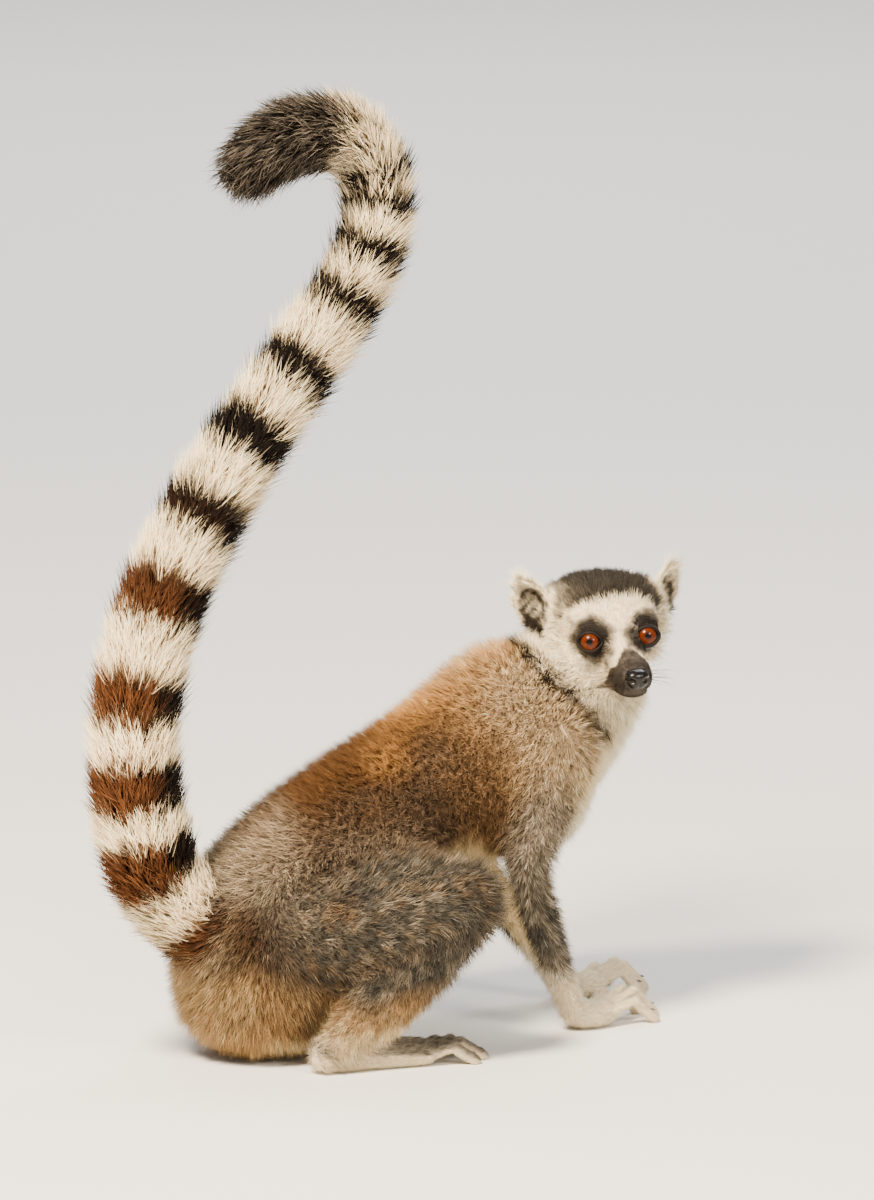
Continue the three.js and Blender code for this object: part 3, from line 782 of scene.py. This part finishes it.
    # Near the tip the black takes grey flecks. These are partly pale hairs and partly painted sunlight on the
    # tip's hair. A half charcoal band greys the last white ring into the tip.
    flecks_pale_and_sunlit = rise(waves(points, 5, 6), -1.0, 0.9)
    dark_rings_lit_brown = painted(dark_rings_lit_brown, "cheek_grey", rise(along, 560, 600) * 0.8 * flecks_pale_and_sunlit)
    tail = mix(tail, dark_rings_lit_brown, (dark * rise(along, 2, 12))[:, None])
    tail = painted(tail, "charcoal", rise(along, 553, 560) * (1 - rise(along, 585, 600)) * 0.5)
    on_tail = body_share(weight, "tail") * rise(share["tail"] * TAIL_LENGTH, 16, 34)
    return mix(base, tail, on_tail[:, None])


def with_colours(mesh, colours):
    """Stores a colour for each vertex as the attribute Coat."""
    attribute = mesh.attributes.new("Coat", "FLOAT_COLOR", "POINT")
    attribute.data.foreach_set("color", np.c_[colours, np.ones(len(colours))].astype(np.float32).ravel())
    return mesh


skin_out = skin_normals(skin_points, skin_faces)
coat = coat_at(skin_points, skin_out)
skin_colours = markings(skin_points, skin_out, coat["shares"], coat["weight"], coat["in_head"])
parts = [(skin_points, skin_faces, skin_colours)]
for sign in SIDES.values():
    place, quads = lid_ring(sign)
    place = from_head(place)
    halves = np.vstack([quads[:, [0, 1, 2]], quads[:, [0, 2, 3]]])
    parts.append((place, halves, np.tile(HAIR["black"], (len(place), 1))))
starts = np.cumsum([0] + [len(part[0]) for part in parts[:-1]])
skin_mesh = closed_mesh(
    "skin",
    np.vstack([part[0] for part in parts]),
    np.vstack([part[1] + start for part, start in zip(parts, starts)]),
)
with_colours(skin_mesh, np.vstack([part[2] for part in parts]))

# Thin hairy hide: matt, as dark or pale as the hair that grows on it, with a fine pebbled grain.
hide, tree, shader = new_material("hide_with_short_down", Roughness=0.66, Specular_IOR_Level=0.2)
own = node(tree, "ShaderNodeAttribute", attribute_name="Coat")
where = node(tree, "ShaderNodeTexCoord")
GRAIN = {"wide": 1.1 * MM, "deep": 0.3 * MM}
pattern = {"Vector": where.outputs["Object"], "Scale": 1 / GRAIN["wide"], "Detail": 3.0}
grain = node(tree, "ShaderNodeTexNoise", pattern)
tree.links.new(own.outputs["Color"], shader.inputs["Base Color"])
relief = {"Height": grain.outputs["Fac"], "Strength": 0.35, "Distance": GRAIN["deep"]}
pebbled = node(tree, "ShaderNodeBump", relief)
tree.links.new(pebbled.outputs["Normal"], shader.inputs["Normal"])
flesh = [name for name in SOLIDS if name not in ("eye_right", "eye_left", "nose")]
new_piece("skin", skin_mesh, hide, "pale_coat", *flesh)


# ---- Coat ---------------------------------------------------------------------------------------
# Fur: each tuft is a thin tapered lock of hairs, three-sided and closed, that grows out of the skin
# and bends over the way the coat lies. Neighbours lean together, which parts the coat into locks.
# name: the lines whose skin it covers, the stretch of their length, and how many tufts it has
COATS = {
    "coat_head": (("skull", "muzzle"), (0, 1), 40000),
    "coat_neck": (("neck", "breast"), (0, 1), 28000),
    "coat_back": (("trunk",), (0, 0.45), 42000),
    "coat_rump": (("trunk",), (0.45, 1), 43000),
    "coat_arm_right": (("upper_arm_right", "forearm_right", "hand_right"), (0, 1), 26000),
    "coat_arm_left": (("upper_arm_left", "forearm_left", "hand_left"), (0, 1), 18000),
    "coat_leg_right": (("thigh_right", "shank_right", "foot_right"), (0, 1), 38000),
    "coat_leg_left": (("thigh_left", "shank_left", "foot_left"), (0, 1), 30000),
    "coat_tail_low": (("tail",), (0, 0.33), 14800),
    "coat_tail_middle": (("tail",), (0.33, 0.66), 14500),
    "coat_tail_high": (("tail",), (0.66, 1), 14000),
}
# mm that a tuft starts under the skin, its width at 1 mm of length, how flat it is as a share of
# its width, mm between locks, and mm that it keeps over the floor
TUFT = {"sunk": 0.6, "width": 0.145, "flat": 0.5, "tight": 5.0, "over_floor": 0.25}
BEND = {"rising": 1.35, "lying": 0.62}  # the stand of a long tuft's halves, as shares of its own
BAKE_PATCH = 0.003  # how wide a tuft's own patch is on the map of the coat
# A short tuft is a straight spike of four vertices. A long one has three more half way, and bends.
SPIKE = [(2, 1, 0), (0, 1, 3), (1, 2, 3), (2, 0, 3)]
LOCK = [
    (2, 1, 0), (0, 1, 4), (0, 4, 3), (1, 2, 5), (1, 5, 4),
    (2, 0, 3), (2, 3, 5), (3, 4, 6), (4, 5, 6), (5, 3, 6),
]


def tuft_faces(count, corners):
    """The faces of so many tufts, each with that many vertices."""
    pattern = np.array(SPIKE if corners == 4 else LOCK)
    return (np.arange(count)[:, None, None] * corners + pattern).reshape(-1, 3)


def grown(random, roots, normals, lie, length, stand, bends):
    """The vertices of each tuft, which starts a little under the skin. A tuft that bends rises at
    more than its stand and lies over to less than it."""
    lie = unit(lie - normals * (lie * normals).sum(1, keepdims=True))
    side = np.cross(normals, lie)
    count = len(roots)
    lean = waves(roots, TUFT["tight"], 21) * 0.24 + random.normal(0, 0.22, count)
    lie = unit(lie + side * lean[:, None])
    side = np.cross(normals, lie)
    stand = np.radians(stand * (1 + 0.16 * waves(roots, TUFT["tight"], 22) + random.normal(0, 0.2, count)))
    stand = np.clip(stand, 0.08, 1.4)
    rising, lying = (stand * BEND["rising"], stand * BEND["lying"]) if bends else (stand, stand)
    first = lie * np.cos(rising)[:, None] + normals * np.sin(rising)[:, None]
    second = lie * np.cos(lying)[:, None] + normals * np.sin(lying)[:, None]
    base = roots - normals * (TUFT["sunk"] * np.minimum(length / 8, 1))[:, None]
    middle = roots + first * (length * 0.45)[:, None]
    tip = middle + second * (length * 0.55)[:, None]
    width = (TUFT["width"] * np.sqrt(length) * random.uniform(0.75, 1.25, count))[:, None]
    ring = [side * 0.5, side * -0.5, normals * TUFT["flat"]]
    halfway = [middle + r * width for r in ring] if bends else []
    return np.stack([base + r * width * (0.85 if bends else 1.1) for r in ring] + halfway + [tip], 1)


def tuft_map(lines, owner, share, turn, bends):
    """Where each tuft's patch lies on the unwrapped skin: a strip for each line, with the length
    of the line up and the turn round it across."""
    strip = np.array([lines.index(NAMES[k]) for k in owner])
    across = (strip + 0.04 + 0.92 * turn) / len(lines)
    halfway = [(0, 0.55), (1, 0.5), (0.5, 0.6)] if bends else []
    patch = np.array([(0, 0), (1, 0.1), (0.5, 0.25)] + halfway + [(0.5, 1)]) * BAKE_PATCH
    return np.stack([across, 0.02 + 0.95 * share], 1)[:, None] + patch


def coat_piece(name, lines, stretch, count, seed):
    """One part of the coat: tufts strewn over the skin of its lines. Their number on a face goes by
    its area divided by the hair's length to the power of 0.9, so short hair stands closer."""
    random = np.random.default_rng(seed)
    bends = "tail" in lines
    first = skin_faces[:, 0]
    belongs = [NAMES.index(line) for line in lines]
    owner_share = coat["shares"][skin_owner[first], first]
    mine = (owner_share >= stretch[0]) & (owner_share <= stretch[1] + 1e-9)
    faces = skin_faces[mine & np.isin(skin_owner[first], belongs)]
    a, b, c = (skin_points[faces[:, k]] for k in range(3))
    area = np.linalg.norm(np.cross(b - a, c - a), axis=1)
    thick = area / np.maximum(coat["length"][faces[:, 0]], 1.6) ** 0.9
    thick = thick * ~skin_bare[faces[:, 0]] * (1 + 1.5 * near_ears(coat["in_head"][faces[:, 0]]))
    total = np.cumsum(thick)
    pick = np.searchsorted(total, (np.arange(count) + random.random(count)) / count * total[-1])
    pick = np.minimum(pick, len(faces) - 1)
    s, t = random.random((2, count))
    s, t = np.where(s + t > 1, 1 - s, s), np.where(s + t > 1, 1 - t, t)
    corners = faces[pick]

    def spread(values):
        """The skin's values at the tufts' roots, weighed by the place in the triangle."""
        v = [values[corners[:, k]] for k in range(3)]
        wide = (slice(None),) + (None,) * (v[0].ndim - 1)
        return v[0] * (1 - s - t)[wide] + v[1] * s[wide] + v[2] * t[wide]

    roots, out = spread(skin_points), unit(spread(skin_out))
    length = spread(coat["length"]) * random.uniform(0.78, 1.16, count)
    lie = unit(spread(coat["lie"]))
    stand = spread(coat["stand"])
    place = grown(random, roots, out, lie, length, stand, bends)
    place[..., 2] = np.maximum(place[..., 2], TUFT["over_floor"])
    # A tuft has the colour of the place that its outer half lies over.
    reach = 0.45 if bends else 0.35 if "skull" in lines else 0.75
    shift = lie * (reach * length)[:, None]
    shares, weight = spread(coat["shares"].T).T, spread(coat["weight"].T).T
    shares[NAMES.index("tail")] += 0.45 * length / TAIL_LENGTH
    lift = out * (0.7 * length * np.sin(np.radians(stand)))[:, None]
    in_head = spread(coat["in_head"]) + to_head(shift, True) * 0.6
    hue = markings(roots + shift + lift, out, shares, weight, in_head)
    # Mid-toned hair is mottled with light and dark tufts and darker at the root. White isn't.
    level = hue.mean(1)
    fleck = 0.7 * random.normal(0, 1, count) + 0.7 * waves(roots, 3.6, 31)
    rough = 1 + 0.4 * body_share(weight, "upper_arm", "forearm") + 0.15 * rise(roots[:, 0], 110, 150)
    mottled = mix(0.4 * rough, 0.1, rise(level, 0.35, 0.7)) * rise(level, 0.01, 0.05)
    clumps = 0.09 * rough * waves(roots, 9, 33) * (1 - rise(level, 0.35, 0.7))
    hue = hue * np.exp(mottled * fleck + clumps + 0.06 * random.normal(0, 1, count))[:, None]
    root = mix(0.56, 0.76, rise(level, 0.15, 0.55))
    # One tuft in five of the darker hair has a pale tip.
    frosted = 1.12 + 0.8 * (random.random(count) < 0.2) * (1 - rise(level, 0.3, 0.6)) * rise(level, 0.04, 0.1)
    shades = np.stack([root] * 3 + [0.5 * (root + 1.1)] * 3 * bends + [frosted], 1)
    tones = np.clip(hue[:, None] * shades[..., None], 0, 1)
    triangles = tuft_faces(count, place.shape[1])
    mesh = closed_mesh(name, place.reshape(-1, 3), triangles)
    with_colours(mesh, tones.reshape(-1, 3))
    reference = np.cross(lie, unit(np.array([0.2, 1, 0.1])))
    turn = (np.arctan2((np.cross(lie, reference) * out).sum(1), (reference * out).sum(1)) / (2 * math.pi)) % 1
    owner = skin_owner[corners[:, 0]]
    own_share = np.clip(shares[owner, np.arange(count)], 0, 1)
    flat = tuft_map(list(lines), owner, own_share, turn, bends).reshape(-1, 2)
    layer = mesh.uv_layers.new(name="OFBake")
    layer.uv.foreach_set("vector", flat[triangles.ravel()].astype(np.float32).ravel())
    return mesh


skin_owner = coat["weight"].argmax(0)


def past_lids(sign):
    """Degrees past the edge of an eye's opening, and more where the skin is far from the eye."""
    distance, _, past = around_eye(coat["in_head"], sign)
    return past + 9 * np.maximum(distance - 14, 0)


# No hair grows on the lids' margins or under the nose pad.
NOSE_BED = {"at": (62, 0, -15.2), "half": (6.5, 8.2, 7)}  # mm, in the head's frame
nose_gap = np.linalg.norm((coat["in_head"] - NOSE_BED["at"]) / NOSE_BED["half"], axis=1)
skin_bare = (np.minimum(*[past_lids(sign) for sign in SIDES.values()]) < 9) | (nose_gap < 1)

# Hair: soft keratin, nearly matt in the mass, with a faint gloss along each lock. The locks carry
# their own colour from root to tip.
fur, tree, shader = new_material("fur_of_fine_dense_hair", Roughness=0.8, Specular_IOR_Level=0.1)
own = node(tree, "ShaderNodeAttribute", attribute_name="Coat")
tree.links.new(own.outputs["Color"], shader.inputs["Base Color"])
SLOTS = {
    "head": "pale_coat", "neck": "pale_coat", "back": "body_coat", "rump": "body_coat",
    "arm": "limb_coat", "leg": "limb_coat", "tail": "tail_coat",
}
FIRST_SEED = 100
for seed, (name, (lines, stretch, count)) in enumerate(COATS.items(), FIRST_SEED):
    new_piece(name, coat_piece(name, lines, stretch, count, seed), fur, SLOTS[name.split("_")[1]])


# ---- Eyes ---------------------------------------------------------------------------------------
# Glass-like eyeballs seated in the head: a burnt-orange iris with fine spokes and a dark edge, a
# small round pupil and a clear bulging front. Round the iris the ball is almost black.
IRIS = {"radius": 5.5, "pupil": 1.75, "bulge": 0.35, "spokes": 46}  # mm, and how many spokes
EYE_MESH = {"rings": 72, "sides": 72, "closeness": 1.35}


def ball(rings, sides, closeness=1.0):
    """A ball as rings round an axis: each place's angle off the axis and its turn round it, and the
    triangles. With a closeness over 1 the rings stand closer round the front pole."""
    off = np.linspace(0, 1, rings + 1)[1:-1] ** closeness * math.pi
    turn = np.linspace(0, 2 * math.pi, sides, endpoint=False)
    off, turn = (grid.ravel() for grid in np.meshgrid(off, turn, indexing="ij"))
    off, turn = np.r_[0, off, math.pi], np.r_[0, turn, 0]
    k = np.arange(sides)
    following = (k + 1) % sides
    first = 1 + sides * np.arange(rings - 2)[:, None]
    a, b = first + k, first + following
    bands = np.stack([np.stack([a, a + sides, b], -1), np.stack([b, a + sides, b + sides], -1)], 1)
    front = np.c_[np.zeros_like(k), 1 + k, 1 + following]
    last = 1 + (rings - 2) * sides
    rear = np.c_[last + k, np.full_like(k, len(off) - 1), last + following]
    return off, turn, np.vstack([front, bands.reshape(-1, 3), rear])


def ball_colour(reach, turn):
    """The colour at a place so many mm from the eye's axis and at that turn round it."""
    share = (reach - IRIS["pupil"]) / (IRIS["radius"] - IRIS["pupil"])
    spoke = np.sin(turn * IRIS["spokes"] + 3 * np.sin(turn * 5)) * 0.5 + np.sin(turn * 17 + 1.3) * 0.5
    inner, outer, edge = (np.array(colour(c)[:3]) for c in ("#3C1101", "#521F02", "#140602"))
    made = mix(inner, outer, rise(share, 0.0, 0.45)[:, None])
    made = made * (1 + 0.22 * spoke * rise(share, 0, 0.3))[:, None]
    made = mix(made, edge, rise(share, 0.72, 1.0)[:, None])
    made = mix(made, np.array(colour("#0B0706")[:3]), rise(share, 0.97, 1.12)[:, None])
    return np.clip(mix(np.full(3, 0.002), made, rise(share, -0.06, 0.04)[:, None]), 0, 1)


def eyeball(sign):
    """A ball round the eye's axis, raised over the iris by the bulge times 1 - (off / limit)^2."""
    off, turn, faces = ball(**EYE_MESH)
    limit = math.asin(IRIS["radius"] / EYE["radius"])
    reach = EYE["radius"] + IRIS["bulge"] * np.clip(1 - (off / limit) ** 2, 0, 1)
    centre, axes = eye_frame(sign)
    local = np.c_[reach * np.cos(off), reach * np.sin(off) * np.cos(turn), reach * np.sin(off) * np.sin(turn)]
    points = from_head(local @ axes + centre)
    mesh = closed_mesh("eye", points, outward(points, faces))
    forward = off < math.pi / 2
    paint = ball_colour(np.where(forward, EYE["radius"] * np.sin(off), 2 * EYE["radius"]), turn)
    return with_colours(mesh, paint)


# A wet clear cornea over the iris: sharp bright reflections of the lamps on deep saturated colour.
cornea, tree, shader = new_material("wet_eye", Roughness=0.3, Specular_IOR_Level=0.1, Coat_Weight=0.4,
                                    Coat_Roughness=0.02, Coat_IOR=1.38)
own = node(tree, "ShaderNodeAttribute", attribute_name="Coat")
tree.links.new(own.outputs["Color"], shader.inputs["Base Color"])
for side, sign in SIDES.items():
    new_piece("eyeball_" + side, eyeball(sign), cornea, "eyes", "eye_" + side)


# ---- Nose pad -----------------------------------------------------------------------------------
# The bare moist leather at the tip of the snout, with two comma-shaped nostrils that open to the
# side and a shallow cleft down the middle.
PAD = {"at": (59.8, 0, -15.2), "half": (6.9, 7.6, 6.2), "pit": 2.8, "cleft": 0.5}  # mm
BOXY = 2.6  # the power that squares the pad off: 2 is a plain ball
NOSTRIL = {"heading": (0.74, 0.6, 0.05), "wide": 0.27}


def nose_pad(rings=40, sides=56):
    """A rounded box-like ball, where the powers of its three places add up to 1, pinched
    below, with a pit and a slit on each side and a cleft down the middle."""
    off, turn, faces = ball(rings, sides)
    sphere = np.c_[np.cos(off), np.sin(off) * np.cos(turn), np.sin(off) * np.sin(turn)]
    shape = sphere / (np.abs(sphere) ** BOXY).sum(1, keepdims=True) ** (1 / BOXY)
    shape[:, 1] *= 1 - 0.22 * rise(-shape[:, 2], -0.2, 1)
    inward = np.zeros(len(shape))
    for sign in SIDES.values():
        heading = unit(np.array(NOSTRIL["heading"]) * (1, sign, 1))
        gap = sphere - heading
        gap[:, 2] *= 1.5
        slit = sphere - unit(heading + np.array((-0.25, sign * 0.25, -0.12)))
        slit[:, 2] *= 2.6
        inward += np.exp(-(gap**2).sum(1) / NOSTRIL["wide"] ** 2)
        inward += 0.7 * np.exp(-(slit**2).sum(1) / NOSTRIL["wide"] ** 2)
    cleft = np.exp(-((sphere[:, 1] / 0.09) ** 2)) * rise(sphere[:, 0], 0.3, 0.7)
    cleft = cleft * rise(-sphere[:, 2], -0.1, 0.3)
    hollow = PAD["pit"] * np.minimum(inward, 1.1) + PAD["cleft"] * cleft
    points = from_head(shape * PAD["half"] + PAD["at"] - sphere * hollow[:, None])
    return closed_mesh("nose_pad", points, outward(points, faces))


# Moist black leather: dark, with a broad wet gloss over a finely pebbled surface.
leather, tree, shader = new_material("moist_black_leather", Base_Color=colour("#080706"), Roughness=0.26,
                                     Specular_IOR_Level=0.35)
where = node(tree, "ShaderNodeTexCoord")
PEBBLE = {"wide": 0.7 * MM, "deep": 0.15 * MM}
pattern = {"Vector": where.outputs["Object"], "Scale": 1 / PEBBLE["wide"]}
pebble = node(tree, "ShaderNodeTexVoronoi", pattern)
relief = {"Height": pebble.outputs["Distance"], "Strength": 0.3, "Distance": PEBBLE["deep"]}
bump = node(tree, "ShaderNodeBump", relief)
tree.links.new(bump.outputs["Normal"], shader.inputs["Normal"])
new_piece("nose_pad", nose_pad(), leather, "nose", "nose")


# ---- Nails --------------------------------------------------------------------------------------
# A small curved nail of dark horn on each finger and toe, set in the skin over the tip.
# root forwards and sideways of the wrist or ankle, length and spread of each digit, in mm and degrees
FINGERS = [(12, -9, 21, -48), (28, -8.5, 28, -17), (31, -2.8, 34, -5), (31, 3.4, 36, 6), (27, 9, 30, 20)]
TOES = [(40, -10, 27, -52), (56, -8.5, 24, -14), (59, -3, 29, -4), (59, 3.4, 33, 5), (55, 9, 28, 15)]
NAIL = {"long": 4.6, "wide": 3.2, "thick": 1.0, "back": 1.9}  # mm


def nail(tip, heading, rows=8, sides=12):
    """A flat egg, lowered by the squares of its places across and along, so that it is domed and
    bends down over the fingertip."""
    off, turn, faces = ball(rows, sides)
    along, across, up = np.cos(off), np.sin(off) * np.cos(turn), np.sin(off) * np.sin(turn)
    x = along * NAIL["long"] / 2
    y = across * NAIL["wide"] / 2
    z = up * NAIL["thick"] / 2 - 0.7 * y**2 / NAIL["wide"] - 0.05 * (x + 2) ** 2
    points = turned(np.c_[x, y, z], "Z", heading) + tip
    return points, outward(points, faces)


def top_of_skin(x, y, reach=1.6):
    """The highest place of the skin near a point, low down by the fingers."""
    close = (np.hypot(skin_points[:, 0] - x, skin_points[:, 1] - y) < reach) & (skin_points[:, 2] < 25)
    return skin_points[close, 2].max() if close.any() else 3.0


nail_points, nail_faces, total = [], [], 0
for limbs, digits in ((ARMS, FINGERS), (LEGS, TOES)):
    for side, (_, _, joint, heading) in limbs.items():
        for forwards, sideways, length, spread in digits:
            turn = heading + spread * SIDES[side]
            root = ground(joint, forwards, heading, sideways * SIDES[side])
            x, y, _ = ground(root, length - NAIL["back"], turn)
            points, faces = nail((x, y, top_of_skin(x, y) - 0.1), turn)
            nail_points.append(points)
            nail_faces.append(faces + total)
            total += len(points)
# Horn: smooth and brownish black with a soft gloss.
horn, _, _ = new_material("dark_horn", Base_Color=colour("#4A4039"), Roughness=0.38)
new_piece("nails", closed_mesh("nails", np.vstack(nail_points), np.vstack(nail_faces)), horn, "nose")


# ---- Whiskers -----------------------------------------------------------------------------------
# Long stiff bristles that sweep back from the sides of the snout, with a few over each eye.
WHISKER = {"long": (16, 27), "thick": 0.13, "sunk": 1.0}  # mm
# How many grow in a bed on each side, and where it is: from and to forwards, to the side, and from
# and to upwards, in the head's frame in mm. The first bed is on the snout, the second on the brow.
WHISKER_BEDS = [(15, (40, 52), 12.0, (-25, -16)), (4, (28, 33), 14.0, (12, 15))]
TURNS = (0, 2.1, 4.2)  # the three corners round a whisker, in radians


def whiskers(random):
    """Thin spikes in the head's frame. Each starts at the skin nearest to its place."""
    face = to_head(skin_points)
    points = []
    for sign in SIDES.values():
        beds = []
        for count, forwards, outwards, upwards in WHISKER_BEDS:
            across = np.full(count, outwards * sign)
            beds.append(np.c_[random.uniform(*forwards, count), across, random.uniform(*upwards, count)])
        for place in np.vstack(beds):
            root = face[np.argmin(((face - place) ** 2).sum(1))]
            heading = unit(np.array([random.uniform(-0.3, 0.25), sign, random.uniform(-0.45, 0.2)]))
            side = unit(np.cross(heading, (0, 0, 1)))
            over = np.cross(heading, side)
            root = root - heading * WHISKER["sunk"]
            ring = [root + WHISKER["thick"] * (side * math.cos(t) + over * math.sin(t)) for t in TURNS]
            droop = np.array([-3, 0, -2])
            middle = root + heading * random.uniform(*WHISKER["long"]) * 0.5
            half = [middle + 0.7 * (corner - root) for corner in ring]
            points += ring + half + [2 * middle - root + droop]
    return from_head(np.array(points))


# Stiff dark hair: smooth, almost black and a little glossy.
bristle, _, _ = new_material("stiff_dark_bristle", Base_Color=colour("#2A221C"), Roughness=0.5)
bristles = whiskers(np.random.default_rng(9))
new_piece("whiskers", closed_mesh("whiskers", bristles, tuft_faces(len(bristles) // 7, 7)), bristle, "nose")
